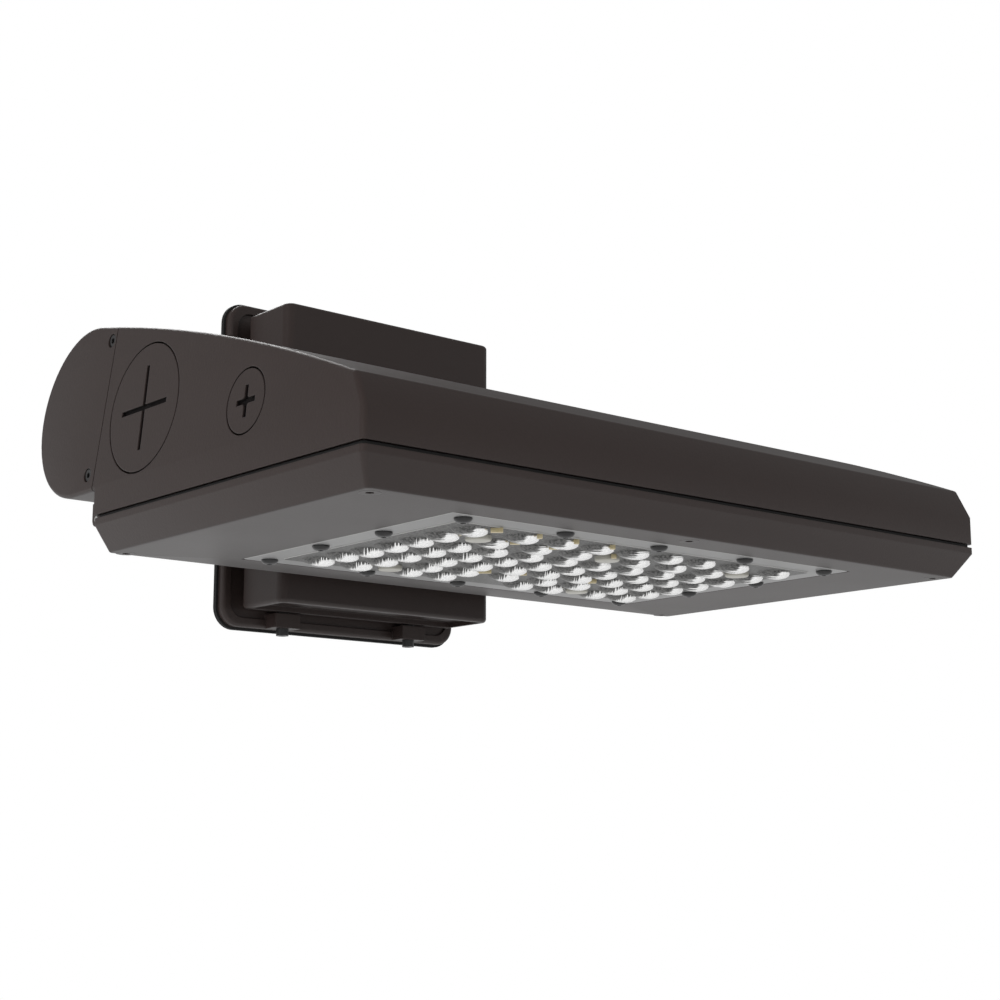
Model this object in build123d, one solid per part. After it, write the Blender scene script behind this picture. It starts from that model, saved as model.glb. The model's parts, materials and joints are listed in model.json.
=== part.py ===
from build123d import *
import os
from math import cos, radians, sin, sqrt, tan

os.makedirs("parts", exist_ok=True)

# LED wall pack: a cast housing with a hinged light door, hung on a wall plate.
# Millimetres, +Z up, the front faces -Y, the wall is the plane y = 0.
# The origin is the middle of the wall plate, on the wall.

# Overall sizes
width = 457.0  # across the two end faces
door_depth = 254.3  # door casting, front to rear
barrel_d = 100.6  # round rear part of the housing
wall_gap = 13.7  # wall to the rear of the barrel
barrel_rise = 1.3  # barrel centre above the middle of the wall plate

# Housing outline
rear_step = 27.7  # barrel centre to the rear wall of the front housing
sill_drop = 14.2  # belly of the barrel down to the rim of the front housing
front_band = 16.4  # upright band above the rim
nose_rise = 17.3  # height of the face that leans back above the band
nose_setback = 8.4  # how far that face leans back
roof_slope = 11.5  # degrees, where the roof runs into the barrel
end_lean = 5.1  # degrees, ends above the belly of the barrel
corner_r = 3.0  # cast corners of the door
edge_r = 2.0  # cast end edges of the housing
shell = 4.5  # cast wall
seam_tilt = 5.0  # degrees, joint between the front housing and the barrel
seam_lead = 1.0  # joint ahead of the rear wall at the height of the wall plate's middle
seam_gap = 0.8  # gasket between the two castings
seam_groove = 1.2  # how deep that gasket lies in the joint

# Door
door_height = 18.2
door_band = 3.8  # upright band at the top of the door
door_gap = 2.1  # door to housing
side_draft = 9.35  # how far each side of the door tapers in
front_draft = 8.6
rear_draft = 1.0
door_floor = 4.0
door_edge_r = 1.5  # lower edge of the door
groove = 2.0  # shadow line ahead of the door gasket
running_gap = 0.3  # between pieces that move past each other
fin_height = 22.0
fin_thick = 2.5
fin_pitch = 18.0
fin_in = 6.0  # fins in from the ends of the light seat
fin_ramp = 12.0  # slope at the front end of each fin
rib_thick = 2.5
rib_x = 84.7  # floor ribs from the middle
rib_y_from_mid = 57.3  # side ribs from the middle of the lens

# Light opening, measured from the rear of the door
lens_x = 300.0
lens_y = 191.0
lens_rear = 30.4  # rear of the door to the lens flange
lens_thick = 3.0
gasket_thick = 1.5
window_x = 268.0
window_y = 156.2
board_thick = 1.6
pad_thick = 0.5
chamber_roof = 5.0
led_size = 5.0
led_height = 1.2
dome_r = 10.2
dome_top = 6.4
dome_height = 4.4
dome_sides = 12
row_pitch = 22.1
row_half = (
    (0.0, 26.7, 53.0, 81.0, 116.0),
    (22.4, 52.0, 83.0, 117.0),
    (12.95, 38.85, 64.75, 90.65, 116.55),
    (12.95, 38.85, 64.75, 90.65, 116.55),
    (12.95, 38.85, 64.75, 90.65, 116.55),
    (0.0, 30.6, 58.0, 90.3, 117.7),
    (30.4, 55.5, 92.0, 118.5),
)
lens_corner = 2.0
wire_boss_d = 28.0
wire_boss_height = 2.6
wire_in = 8.0  # wire connector in from the rear edge of the board
connector_x = 18.0
connector_y = 8.0

# Wall box
box_x = 166.4
box_z = 191.7
box_depth = 43.6
box_rise = 0.25  # middle of the box above the middle of the wall plate
box_corner = 6.5
box_edge = 2.5
box_shell = 4.0
box_seal = 1.5
box_fit = 0.5  # box to the sides of its recess in the barrel
neck_side = 7.8  # neck in from each side of the box
neck_step = 3.85  # neck in from its top and bottom
neck_depth = 8.7
hook_x = 96.0
hook_thick = 4.0
hook_lip = 8.0
hook_top = 72.0  # lip of the plate's hook above the middle of the plate

# Wall plate
plate_x = 186.0
plate_z = 211.8
plate_corner = 12.5
plate_thick = 6.0
plate_rim = 6.0
plate_recess = 1.5
plate_edge = 2.4
gasket_out = 1.5  # wall gasket past the plate
wall_gasket = 3.0
entry_d = 44.0  # supply entry
mount_x = 120.0
mount_z = 156.0
mount_hole = 7.0
slot_span = 88.9
slot_width = 5.0
slot_length = 12.0
lock_span = 101.4
lock_d = 8.0
lock_length = 18.2
lock_block_x = 19.0
lock_block_y = 11.0
lock_block_z = 9.4
lock_key = 4.0
lock_point = 1.2
lock_touch = 0.02  # lock screws to the underside of the neck

# End plugs, measured from the barrel centre
large_plug_d = 72.0
large_plug_at = (-73.8, -11.0)
large_slot = (48.0, 3.0)
small_plug_d = 33.6
small_plug_at = (-179.2, -27.5)
small_slot = (17.0, 3.0)
plug_ring = 1.0  # open ring round each plug
plug_disc = 3.3
plug_step = 5.0  # disc past its threaded body
plug_seat = 10.0  # depth of the cast seat behind the end face
plug_seal = 1.0
slot_depth = 2.2

# Fits
thread_fit = 0.05
pin_fit = 0.05
hole_fit = 0.25  # round a screw that passes through
swing_fit = 0.6  # round the door screws, which swing in and out with the door

# Derived places
half = width / 2
neck_x = box_x - 2 * neck_side
neck_z = box_z - 2 * neck_step
barrel_r = barrel_d / 2
barrel_y = -(wall_gap + barrel_r)
barrel_z = barrel_rise
belly_z = barrel_z - barrel_r
rear_y = barrel_y - rear_step
front_y = rear_y - door_depth
rim_z = belly_z - sill_drop
crease_z = rim_z + front_band
nose_z = crease_z + nose_rise
nose_y = front_y + nose_setback
lean = tan(radians(end_lean))
door_top = rim_z - door_gap
door_bottom = door_top - door_height
band_z = door_top - door_band
seam_y = rear_y - seam_lead
far = 2 * (width + door_depth)


def block(x, y, z):
    """Box between the low and high value on each axis."""
    size = Box(x[1] - x[0], y[1] - y[0], z[1] - z[0])
    return Pos((x[0] + x[1]) / 2, (y[0] + y[1]) / 2, (z[0] + z[1]) / 2) * size


def rod(radius, start, end):
    """Round bar between two points."""
    run = Vector(*end) - Vector(*start)
    return Plane(origin=start, z_dir=run) * extrude(Circle(radius), amount=run.length)


def save(name, *solids):
    """Writes one piece, or a group of equal pieces, as parts/NAME.step."""
    pieces = [s for shape in solids for s in shape.solids()]
    whole = pieces[0] if len(pieces) == 1 else Compound(children=pieces)
    whole.label = name
    export_step(whole, f"parts/{name}.step")


def hexagon(key):
    return RegularPolygon(radius=key / sqrt(3), side_count=6)


def cap_screw(shank_r, length, head_r, head_h, key):
    """Socket head screw, seated at z = 0 with its shank along -Z."""
    head = extrude(Circle(head_r), amount=head_h)
    shank = extrude(Circle(shank_r), amount=-length)
    socket = Pos(0, 0, head_h) * extrude(hexagon(key), amount=-0.6 * head_h)
    return head + shank - socket


def button_screw(shank_r, length, head_r, head_h, key):
    """Domed head screw, seated at z = 0 with its shank along -Z."""
    crown = head_h / 2
    head = extrude(Circle(head_r), amount=head_h - crown)
    head = head + Pos(0, 0, head_h - crown / 2) * Cone(head_r, 0.6 * head_r, crown)
    head = head + extrude(Circle(shank_r), amount=-length)
    if key:
        head = head - Pos(0, 0, head_h) * extrude(hexagon(key), amount=-0.6 * head_h)
    return head


def flat_screw(shank_r, length, head_r, key):
    """Countersunk screw, flush at z = 0 with its shank along -Z."""
    sink = head_r - shank_r
    cone = Pos(0, 0, -sink / 2) * Cone(shank_r, head_r, sink)
    shank = extrude(Circle(shank_r), amount=-length)
    socket = extrude(hexagon(key), amount=-0.7 * sink)
    return cone + shank - socket


def place(shape, at, outward):
    """Puts a screw on its seat, with the head on the side it is reached from."""
    return Plane(origin=at, z_dir=outward) * shape


# Housing form: a side section drawn along X, cut by the front outline drawn along Y


def side_section(low):
    """Section from the nose to the back of the barrel, closed at a height under the roof."""
    a = radians(roof_slope)
    touch = (barrel_y - barrel_r * sin(a), barrel_z + barrel_r * cos(a))
    band = [Line((front_y, low), (front_y, crease_z))] if low < crease_z else []
    outline = Curve() + [
        Line((rear_y, low), (front_y, low)),
        *band,
        Line((front_y, crease_z), (nose_y, nose_z)),
        TangentArc(touch, (nose_y, nose_z), tangent=(-cos(a), -sin(a))),
        ThreePointArc(touch, (barrel_y + barrel_r, barrel_z), (barrel_y, belly_z)),
        Line((barrel_y, belly_z), (rear_y, belly_z)),
        Line((rear_y, belly_z), (rear_y, low)),
    ]
    return make_face(outline)


def end_x(z):
    """Distance of the end face from the middle at a height."""
    return half - max(0.0, z - belly_z) * lean


def housing_body(inset):
    """The whole housing form, drawn in by an inset."""
    side = offset(side_section(rim_z), amount=-inset, kind=Kind.INTERSECTION)
    top = barrel_z + barrel_r + 1
    x0, x1 = half - inset, end_x(top) - inset
    low = rim_z - 1
    front = Polygon(
        (-x0, low), (x0, low), (x0, belly_z), (x1, top), (-x1, top), (-x0, belly_z), align=None
    )
    return extrude(Plane.YZ * side, amount=half + 1, both=True) & extrude(
        Plane.XZ * front, amount=far, both=True
    )


def seam_side(side, gap):
    """Everything ahead of (-1) or behind (+1) the tilted joint of the two castings."""
    slab = Pos(0, side * (far + gap) / 2, 0) * Box(2 * far, far, 2 * far)
    return Pos(0, seam_y, 0) * Rot(seam_tilt, 0, 0) * slab


def seam_at(z):
    return seam_y - z * tan(radians(seam_tilt))


def upper_form():
    """The housing above the crease, with its front corners and then its end edges rounded."""
    low, top = belly_z - 1, barrel_z + barrel_r + 1
    x0, x1 = half - (low - belly_z) * lean, end_x(top)
    front = Polygon((-x0, low), (x0, low), (x1, top), (-x1, top), align=None)
    form = extrude(Plane.YZ * side_section(crease_z), amount=far, both=True)
    form = form & extrude(Plane.XZ * front, amount=far, both=True)
    form = fillet([e for e in end_edges(form) if e.center().Y < nose_y], corner_r)
    return fillet([e for e in end_edges(form) if e.center().Y > nose_y], edge_r)


def end_edges(form):
    """Edges along the two ends, apart from those in the crease plane and the rear wall."""
    picked = []
    for e in form.edges():
        spot, size = e.center(), e.bounding_box().size
        on_end = abs(spot.X) > end_x(barrel_z + barrel_r + 1) - corner_r
        on_crease = size.Z < 0.01 and abs(spot.Z - crease_z) < 0.01
        on_rear = size.Y < 0.01 and abs(spot.Y - rear_y) < 0.01
        if on_end and not on_crease and not on_rear:
            picked.append(e)
    return picked


def band_form(upper):
    """The upright band under the crease, drawn down from the foot of the form above it."""
    feet = [f for f in upper.faces().filter_by(Axis.Z) if abs(f.center().Z - crease_z) < 0.01]
    return extrude(sorted(feet, key=lambda f: f.area)[-1], amount=front_band, dir=(0, 0, -1))


upper = upper_form()
outer = upper + band_form(upper)
inner = housing_body(shell)
mouth = block(
    (-half + shell, half - shell),
    (front_y + shell, rear_y - shell),
    (rim_z - 1, (rim_z + crease_z) / 2),
)

# Round screws through the ends of the barrel, and the lugs that take them
lug_spots = ((rear_y + 1.2, barrel_z + 37.4), (rear_y + 10.7, barrel_z - 40.0))
lug_screw_r = 2.0
lug_screw_length = 12.0
lug_head_r = 3.5
lug_head_h = 4.0
lug_key = 3.0
lug_sink = 0.6  # head below the end face
lug_boss = 8.0  # wall of the barrel at the screw
lug_boss_r = lug_head_r + 3.0
lug_depth = 10.0
lug_half = 5.0
lug_reach = 12.0  # lug ahead of the joint
lug_fit = 0.2

# Door fixings
door_screw_r = 3.0
door_screw_head = 5.8
door_key = 4.0
door_screw_x = half - 17.6
door_screw_y = front_y + 18.3
door_screw_length = 30.0
door_sink = door_screw_head - door_screw_r
front_screws = [(x, door_screw_y) for x in (-door_screw_x, 0.0, door_screw_x)]
front_boss_r = 7.0
front_boss_height = 15.0
front_web = 4.0
door_boss_r = 8.0
strap_x = half - 18.5
strap_half = 7.0
strap_thick = 2.0
strap_fit = 0.5  # strap to its pocket in the door
strap_seat_z = door_top - 2.2
strap_reach = 12.3
strap_screw_y = rear_y - 5.3
knuckle_r = 4.2
hinge_y = rear_y + knuckle_r + strap_fit
hinge_z = rim_z - door_gap / 2
pin_r = 1.8
ear_thick = 7.0
ear_fit = 0.3
ear_rise = 8.0

# Wall box places
plate_front = -(wall_gasket + plate_thick)
box_rear = plate_front - neck_depth
box_front = box_rear - box_depth
box_low = box_rise - box_z / 2
box_high = box_rise + box_z / 2
notch_x = box_x / 2 + box_fit
notch_y = box_front - box_seal
bolt_x = 0.36 * box_x
bolt_z = 28.0
bolt_r = 3.0
bolt_head_r = 5.0
bolt_head_h = 6.0
bolt_key = 5.0
bolt_length = 16.0
bolt_boss_r = 7.0
bolt_boss_length = 9.0
bolt_spots = [(x, barrel_z + z) for x in (-bolt_x, bolt_x) for z in (-bolt_z, bolt_z)]
grommet_r = 14.0
grommet_bore = 9.0
grommet_lip = 3.0
seal_in = 8.0  # seal in from the sides of the box
seal_edge = 5.0  # seal in from the top and the belly of the barrel
rib_behind = 2.5  # plate to the ribs that hang on its hook
rib_ahead = 1.5  # ribs to the lip of the hook
hang_rib_x = 22.0


def plug_plane(side, spot):
    """Plane of an end face at a plug, looking outward."""
    y, z = barrel_y + spot[0], barrel_z + spot[1]
    tilt = radians(end_lean)
    return Plane(
        origin=(side * end_x(z), y, z), x_dir=(0, side, 0), z_dir=(side * cos(tilt), 0, sin(tilt))
    )


def end_plug(plane, diameter, slot, fillet_r):
    """Closure plug: a disc flush with the end face, on a threaded body, with a cross slot."""
    disc = extrude(Circle(diameter / 2), amount=-plug_disc)
    body = extrude(Circle(diameter / 2 - plug_step), amount=-(plug_seat - 1))
    cross = Rectangle(*slot) + Rectangle(slot[1], slot[0])
    if fillet_r:
        cross = fillet(cross.vertices().sort_by(lambda v: v.center().length)[:4], fillet_r)
    cut = extrude(cross, amount=-slot_depth)
    return plane * (disc + body - cut)


def plug_seal_ring(plane, diameter):
    """Flat ring under the disc of a plug."""
    ring = Circle(diameter / 2) - Circle(diameter / 2 - plug_step + thread_fit)
    return plane * (Pos(0, 0, -plug_disc - plug_seal) * extrude(ring, amount=plug_seal))


def plug_boss(plane, diameter):
    return plane * extrude(Circle(diameter / 2 + plug_step), amount=-plug_seat)


def plug_cut(plane, diameter):
    wide = extrude(Circle(diameter / 2 + plug_ring), amount=-(plug_disc + plug_seal))
    wide = wide + extrude(Circle(diameter / 2 + plug_ring), amount=shell)
    narrow = extrude(Circle(diameter / 2 - plug_step + thread_fit), amount=-2 * plug_seat)
    return plane * (wide + narrow)


plugs = [
    (name, side, plug_plane(side, spot), diameter, slot, round_r)
    for side, word in ((-1, "left"), (1, "right"))
    for name, spot, diameter, slot, round_r in (
        (f"large_plug_{word}", large_plug_at, large_plug_d, large_slot, 0.0),
        (f"small_plug_{word}", small_plug_at, small_plug_d, small_slot, 1.6),
    )
]

# Front housing

front = (outer & seam_side(-1, seam_gap)) - inner - mouth
for x, y in front_screws:
    boss_z = (rim_z, rim_z + front_boss_height)
    boss = rod(front_boss_r, (x, y, boss_z[0]), (x, y, boss_z[1]))
    web = block((x - front_web / 2, x + front_web / 2), (front_y + shell - 1, y), boss_z)
    front = front + boss + web
    if x:
        out = end_x(crease_z) - shell + 1
        x_span = sorted((x, out if x > 0 else -out))
        front = front + block(x_span, (y - front_web / 2, y + front_web / 2), boss_z)
for side in (-1, 1):
    for y, z in lug_spots:
        far_x = end_x(z) - lug_boss - lug_depth
        near_x = end_x(z) - lug_boss - lug_fit
        root_x = end_x(z) - shell / 2
        ahead = block(
            sorted((side * far_x, side * root_x)),
            (seam_at(z) - lug_reach, seam_at(z) + 2),
            (z - lug_half, z + lug_half),
        )
        behind = block(
            sorted((side * far_x, side * near_x)),
            (seam_at(z) - lug_reach, y + lug_half),
            (z - lug_half, z + lug_half),
        )
        ahead = ahead & outer & seam_side(-1, seam_gap)
        lug = ahead + (behind & housing_body(shell + lug_fit))
        front = front + lug
        front = front - rod(
            lug_screw_r + thread_fit, (side * (far_x - 1), y, z), (side * half, y, z)
        )
for name, side, plane, diameter, slot, round_r in plugs:
    front = front + (plug_boss(plane, diameter) & outer)
for name, side, plane, diameter, slot, round_r in plugs:
    front = front - plug_cut(plane, diameter)
for x, y in front_screws:
    hole_top = rim_z + front_boss_height - 2
    front = front - rod(door_screw_r + swing_fit, (x, y, rim_z - 1), (x, y, hole_top))
for side in (-1, 1):
    for inner_side in (-1, 1):
        near = side * strap_x + inner_side * (strap_half + ear_fit)
        x0, x1 = sorted((near, near + inner_side * ear_thick))
        ear = rod(knuckle_r, (x0, hinge_y, hinge_z), (x1, hinge_y, hinge_z))
        lug = block((x0, x1), (rear_y - 1, hinge_y), (rim_z, rim_z + ear_rise))
        tip = block((x0, x1), (rear_y, hinge_y + knuckle_r), (hinge_z, rim_z + ear_rise))
        front = front + ear + lug + tip
    x, reach = side * strap_x, strap_half + ear_thick + 2
    front = front - rod(
        pin_r + pin_fit, (x - reach, hinge_y, hinge_z), (x + reach, hinge_y, hinge_z)
    )
save("front_housing", front)

# Rear barrel

notch = block((-notch_x, notch_x), (notch_y, far), (-far, far))
grown = block((-notch_x - shell, notch_x + shell), (notch_y - shell, far), (-far, far))
barrel = (outer & seam_side(1, seam_gap)) - (inner - grown) - notch
for side in (-1, 1):
    for y, z in lug_spots:
        seat = end_x(z) - lug_head_h - lug_sink
        boss = rod(lug_boss_r, (side * (end_x(z) - lug_boss), y, z), (side * (half + 1), y, z))
        barrel = barrel + (boss & outer & seam_side(1, seam_gap))
        head = rod(lug_head_r + 2 * hole_fit, (side * seat, y, z), (side * half, y, z))
        hole = rod(lug_screw_r + hole_fit, (side * (seat - lug_boss), y, z), (side * half, y, z))
        barrel = barrel - head - hole
for x, z in bolt_spots:
    boss_end = notch_y - shell - bolt_boss_length
    barrel = barrel + rod(bolt_boss_r, (x, boss_end, z), (x, notch_y - 1, z))
    barrel = barrel - rod(bolt_r + thread_fit, (x, box_front - bolt_length, z), (x, notch_y + 1, z))
barrel = barrel - rod(
    grommet_r + thread_fit, (0, notch_y - shell - 1, barrel_z), (0, notch_y + 1, barrel_z)
)

# Gear bays: one each side of the wall box, inside the barrel
bay_near = notch_x + shell + 4
bay_far = end_x(barrel_z + barrel_r) - shell - 6
tray_z = barrel_z - 21.0
tray_thick = 1.5
tray_half = 30.0
tray_y = (barrel_y - tray_half, barrel_y + tray_half)
tray_lip = 8.0
tab_length = 13.0
tab_thick = 1.2
tab_in = 8.0  # tabs in from the sides of the gear
tray_screw_r = 2.0
tray_screw_length = 10.0
tray_head_r = 3.8
tray_head_h = 2.2
tray_boss_r = 4.5
tray_spots = [(bay_near + tab_length / 2, barrel_y), (bay_far - tab_length / 2, barrel_y)]
for side in (-1, 1):
    for x, y in tray_spots:
        barrel = barrel + rod(tray_boss_r, (side * x, y, belly_z + shell / 2), (side * x, y, tray_z))
        low = tray_z - tray_screw_length - 2
        barrel = barrel - rod(tray_screw_r + thread_fit, (side * x, y, low), (side * x, y, tray_z + 1))
save("rear_barrel", barrel)

ring = (housing_body(seam_groove) - inner) & seam_side(-1, -seam_gap) & seam_side(1, -seam_gap)
save("seam_gasket", ring)

screws = []
for side in (-1, 1):
    for y, z in lug_spots:
        seat = (side * (end_x(z) - lug_head_h - lug_sink), y, z)
        one = cap_screw(lug_screw_r, lug_screw_length, lug_head_r, lug_head_h, lug_key)
        screws.append(place(one, seat, (side, 0, 0)))
save("barrel_screws", *screws)

for name, side, plane, diameter, slot, round_r in plugs:
    save(name, end_plug(plane, diameter, slot, round_r))
for size in ("large", "small"):
    chosen = [p for p in plugs if p[0].startswith(size)]
    save(f"{size}_plug_seals", *[plug_seal_ring(p[2], p[3]) for p in chosen])

# Gear in the barrel


def tray_hole(side, x, y):
    """Through hole for a tray screw, in the tray and in the tabs that lie on it."""
    return rod(tray_screw_r + hole_fit, (side * x, y, tray_z - 1), (side * x, y, tray_z + 5))


screws = []
for side, name in ((-1, "driver_tray"), (1, "gear_tray")):
    x_span = sorted((side * bay_near, side * bay_far))
    tray = block(x_span, tray_y, (tray_z, tray_z + tray_thick))
    lip_y = (tray_y[0], tray_y[0] + tray_thick)
    tray = tray + block(x_span, lip_y, (tray_z, tray_z + tray_lip))
    for x, y in tray_spots:
        tray = tray - tray_hole(side, x, y)
        one = button_screw(tray_screw_r, tray_screw_length, tray_head_r, tray_head_h, 0)
        screws.append(place(one, (side * x, y, tray_z + tray_thick + tab_thick), (0, 0, 1)))
    save(name, tray)
save("tray_screws", *screws)


def gear_box(side, x0, x1, y, height, radius, tabs):
    """Bought control gear: a rounded box on the tray, with screw tabs at its ends."""
    low = tray_z + tray_thick
    body = block(sorted((side * x0, side * x1)), y, (low, low + height))
    body = fillet(body.edges().filter_by(Axis.Z), radius)
    body = chamfer(body.faces().sort_by(Axis.Z)[-1].edges(), radius / 2)
    for tab in tabs:
        x_span = sorted((side * tab[0], side * tab[1]))
        body = body + block(x_span, (y[0] + tab_in, y[1] - tab_in), (low, low + tab_thick))
    for x, y_spot in tray_spots:
        body = body - tray_hole(side, x, y_spot)
    return body


driver_height = 37.0
surge_height = 30.0
terminal_length = 36.0
gear_corner = 3.0
gear_gap = 4.0
gear_y = (tray_y[0] + tray_thick + 1, tray_y[1] - 1)
near_tab = (bay_near, bay_near + tab_length + 1)
far_tab = (bay_far - tab_length - 1, bay_far)
gear_x = (near_tab[1] - 1, far_tab[0] + 1)
surge_x = gear_x[1] - terminal_length - gear_gap
driver = gear_box(-1, *gear_x, gear_y, driver_height, gear_corner, (near_tab, far_tab))
save("led_driver", driver)
surge = gear_box(1, gear_x[0], surge_x, gear_y, surge_height, gear_corner, (near_tab,))
save("surge_module", surge)

poles = 5
base_height = 12.0
tower_rise = 7.0
tower_x = 10.0
wire_hole_r = 1.6
block_low = tray_z + tray_thick
block_x = (surge_x + gear_gap, gear_x[1])
block_mid = (block_x[0] + block_x[1]) / 2
block_top = block_low + base_height
terminal = block(block_x, gear_y, (block_low, block_top))
tab_y = (gear_y[0] + tab_in, gear_y[1] - tab_in)
terminal = terminal + block(far_tab, tab_y, (block_low, block_low + tab_thick))
pole_pitch = (gear_y[1] - gear_y[0]) / poles
pole_half = 0.36 * pole_pitch
tower_span = (block_mid - tower_x / 2, block_mid + tower_x / 2)
for i in range(poles):
    y = gear_y[0] + (i + 0.5) * pole_pitch
    tower = block(tower_span, (y - pole_half, y + pole_half), (block_top - 1, block_top + tower_rise))
    hole = rod(wire_hole_r, (block_mid, y, block_top), (block_mid, y, block_top + tower_rise + 1))
    terminal = terminal + tower - hole
for x, y in tray_spots:
    terminal = terminal - tray_hole(1, x, y)
save("terminal_block", terminal)

# Wall box: open at the back, with a neck that stands on the wall plate

box = block((-box_x / 2, box_x / 2), (box_front, box_rear), (box_low, box_high))
box = fillet(box.edges().filter_by(Axis.Z).group_by(Axis.Y)[0], box_corner)
box = fillet(box.faces().sort_by(Axis.Y)[0].edges(), box_edge)
neck_top = neck_z / 2
neck_end = plate_front - running_gap
box = box + block((-neck_x / 2, neck_x / 2), (box_rear - 1, neck_end), (-neck_top, neck_top))
under = -neck_top
box = box - block(
    (-box_x / 2 + box_shell, box_x / 2 - box_shell),
    (box_front + box_shell, box_rear - box_shell),
    (box_low - 1, under),
)
box = box - block(
    (-box_x / 2 + box_shell, box_x / 2 - box_shell),
    (box_front + box_shell, box_rear - box_shell),
    (under + box_shell, box_high - box_shell),
)
box = box - block(
    (-neck_x / 2 + box_shell, neck_x / 2 - box_shell),
    (box_rear - box_shell - 1, 0),
    (-neck_top + box_shell, neck_top - box_shell),
)
hook_low = hook_top - hook_lip
rib_y = (plate_front - rib_behind - hook_thick, plate_front - rib_behind)
rib_low = hook_low + running_gap
for side in (-1, 1):
    x_span = sorted((side * (hook_x / 2 - 2), side * (hook_x / 2 - 2 - hang_rib_x)))
    box = box + block(x_span, rib_y, (rib_low, neck_top - 1))
for x, z in bolt_spots:
    box = box - rod(bolt_r + hole_fit, (x, box_front - 1, z), (x, box_front + box_shell + 1, z))
wire_way = rod(grommet_r + thread_fit, (0, notch_y - 1, barrel_z), (0, box_rear, barrel_z))
box = box - wire_way
save("wall_box", box)

seal = block(
    (-box_x / 2 + seal_in, box_x / 2 - seal_in),
    (notch_y, box_front),
    (belly_z + seal_edge, barrel_z + barrel_r - seal_edge),
)
screws = []
for x, z in bolt_spots:
    seal = seal - rod(bolt_r + hole_fit, (x, notch_y - 1, z), (x, box_front + 1, z))
    one = cap_screw(bolt_r, bolt_length, bolt_head_r, bolt_head_h, bolt_key)
    screws.append(place(one, (x, box_front + box_shell, z), (0, 1, 0)))
seal = seal - wire_way
save("box_seal", seal)
save("box_bolts", *screws)

grommet = rod(grommet_r, (0, notch_y - shell, barrel_z), (0, box_front + box_shell, barrel_z))
for y0, y1 in (
    (notch_y - shell - grommet_lip, notch_y - shell),
    (box_front + box_shell, box_front + box_shell + grommet_lip),
):
    grommet = grommet + rod(grommet_r + grommet_lip, (0, y0, barrel_z), (0, y1, barrel_z))
grommet = grommet - rod(grommet_bore, (0, notch_y - 20, barrel_z), (0, box_rear, barrel_z))
save("wire_grommet", grommet)

# Wall plate: dished face, hook for the box, blocks for the two lock screws

def slab_y(size_x, size_z, corner, y0, y1):
    """Rounded upright slab between two distances from the wall."""
    face = Plane(origin=(0, y1, 0), x_dir=(1, 0, 0), z_dir=(0, -1, 0)) * RectangleRounded(
        size_x, size_z, corner
    )
    return extrude(face, amount=y1 - y0)


plate = slab_y(plate_x, plate_z, plate_corner, plate_front, -wall_gasket)
plate = fillet(plate.faces().sort_by(Axis.Y)[0].edges(), plate_edge)
dish = slab_y(
    plate_x - 2 * plate_rim,
    plate_z - 2 * plate_rim,
    plate_corner - plate_rim / 2,
    plate_front - 1,
    plate_front + plate_recess,
)
seat_ring = block((-neck_x / 2, neck_x / 2), (plate_front, plate_front + 4), (-neck_top, neck_top))
plate = plate - (dish - seat_ring)
hook_span = (-hook_x / 2, hook_x / 2)
lip_y = (rib_y[0] - rib_ahead - hook_thick, rib_y[0] - rib_ahead)
shelf = block(hook_span, (lip_y[0], plate_front), (hook_low - hook_thick, hook_low))
lip = block(hook_span, lip_y, (hook_low - hook_thick, hook_top))
plate = plate + shelf + lip
lock_y = (box_rear + neck_end) / 2
lock_spots = {"left": -lock_span / 2, "right": lock_span / 2}
block_top = -plate_z / 2 + lock_block_z
for x in lock_spots.values():
    lug = block(
        (x - lock_block_x / 2, x + lock_block_x / 2),
        (plate_front - lock_block_y, plate_front + 2),
        (-plate_z / 2 + 0.2, block_top),
    )
    plate = plate + lug
    plate = plate - rod(lock_d / 2 + thread_fit, (x, lock_y, -plate_z), (x, lock_y, block_top + 1))
for x in (-mount_x / 2, mount_x / 2):
    for z in (-mount_z / 2, mount_z / 2):
        plate = plate - rod(mount_hole / 2, (x, 1, z), (x, plate_front - 1, z))
slots = [Pos(x, 0) * SlotOverall(slot_length, slot_width) for x in (-slot_span / 2, slot_span / 2)]
slot_cut = extrude(Plane.XZ * (Sketch() + slots), amount=far, both=True)
plate = plate - slot_cut
plate = plate - rod(entry_d / 2, (0, 1, 0), (0, plate_front - 1, 0))
ground_spot = (30.0, -48.0)
ground_r = 2.0
ground_length = plate_thick - 0.5
ground_head_r = 4.0
ground_head_h = 2.4
x, z = ground_spot
plate = plate - rod(ground_r + thread_fit, (x, -wall_gasket + 1, z), (x, plate_front - 1, z))
save("wall_plate", plate)

washer = slab_y(
    plate_x + 2 * gasket_out, plate_z + 2 * gasket_out, plate_corner + gasket_out, -wall_gasket, 0
)
for x in (-mount_x / 2, mount_x / 2):
    for z in (-mount_z / 2, mount_z / 2):
        washer = washer - rod(mount_hole / 2, (x, 1, z), (x, -wall_gasket - 1, z))
washer = washer - slot_cut - rod(entry_d / 2, (0, 1, 0), (0, -wall_gasket - 1, 0))
save("wall_gasket", washer)

one = button_screw(ground_r, ground_length, ground_head_r, ground_head_h, 0)
save("ground_screw", place(one, (x, plate_front, z), (0, -1, 0)))

for word, x in lock_spots.items():
    top = under - lock_touch
    screw = rod(lock_d / 2, (x, lock_y, top - lock_length), (x, lock_y, top))
    tip = screw.edges().filter_by(GeomType.CIRCLE).sort_by(Axis.Z)[-1]
    screw = chamfer(tip, lock_point)
    socket = Pos(x, lock_y, top - lock_length) * extrude(hexagon(lock_key), amount=lock_key)
    save(f"lock_screw_{word}", screw - socket)

# Door casting: tapered tray round a thick seat for the light board


def inner_corner(inset):
    return max(0.5, corner_r - inset / 2)


def plan(inset, z):
    """Rounded outline of the door at a height."""
    size = RectangleRounded(width - 2 * inset, door_depth - 2 * inset, inner_corner(inset))
    return Pos(0, (front_y + rear_y) / 2, z) * size


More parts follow.
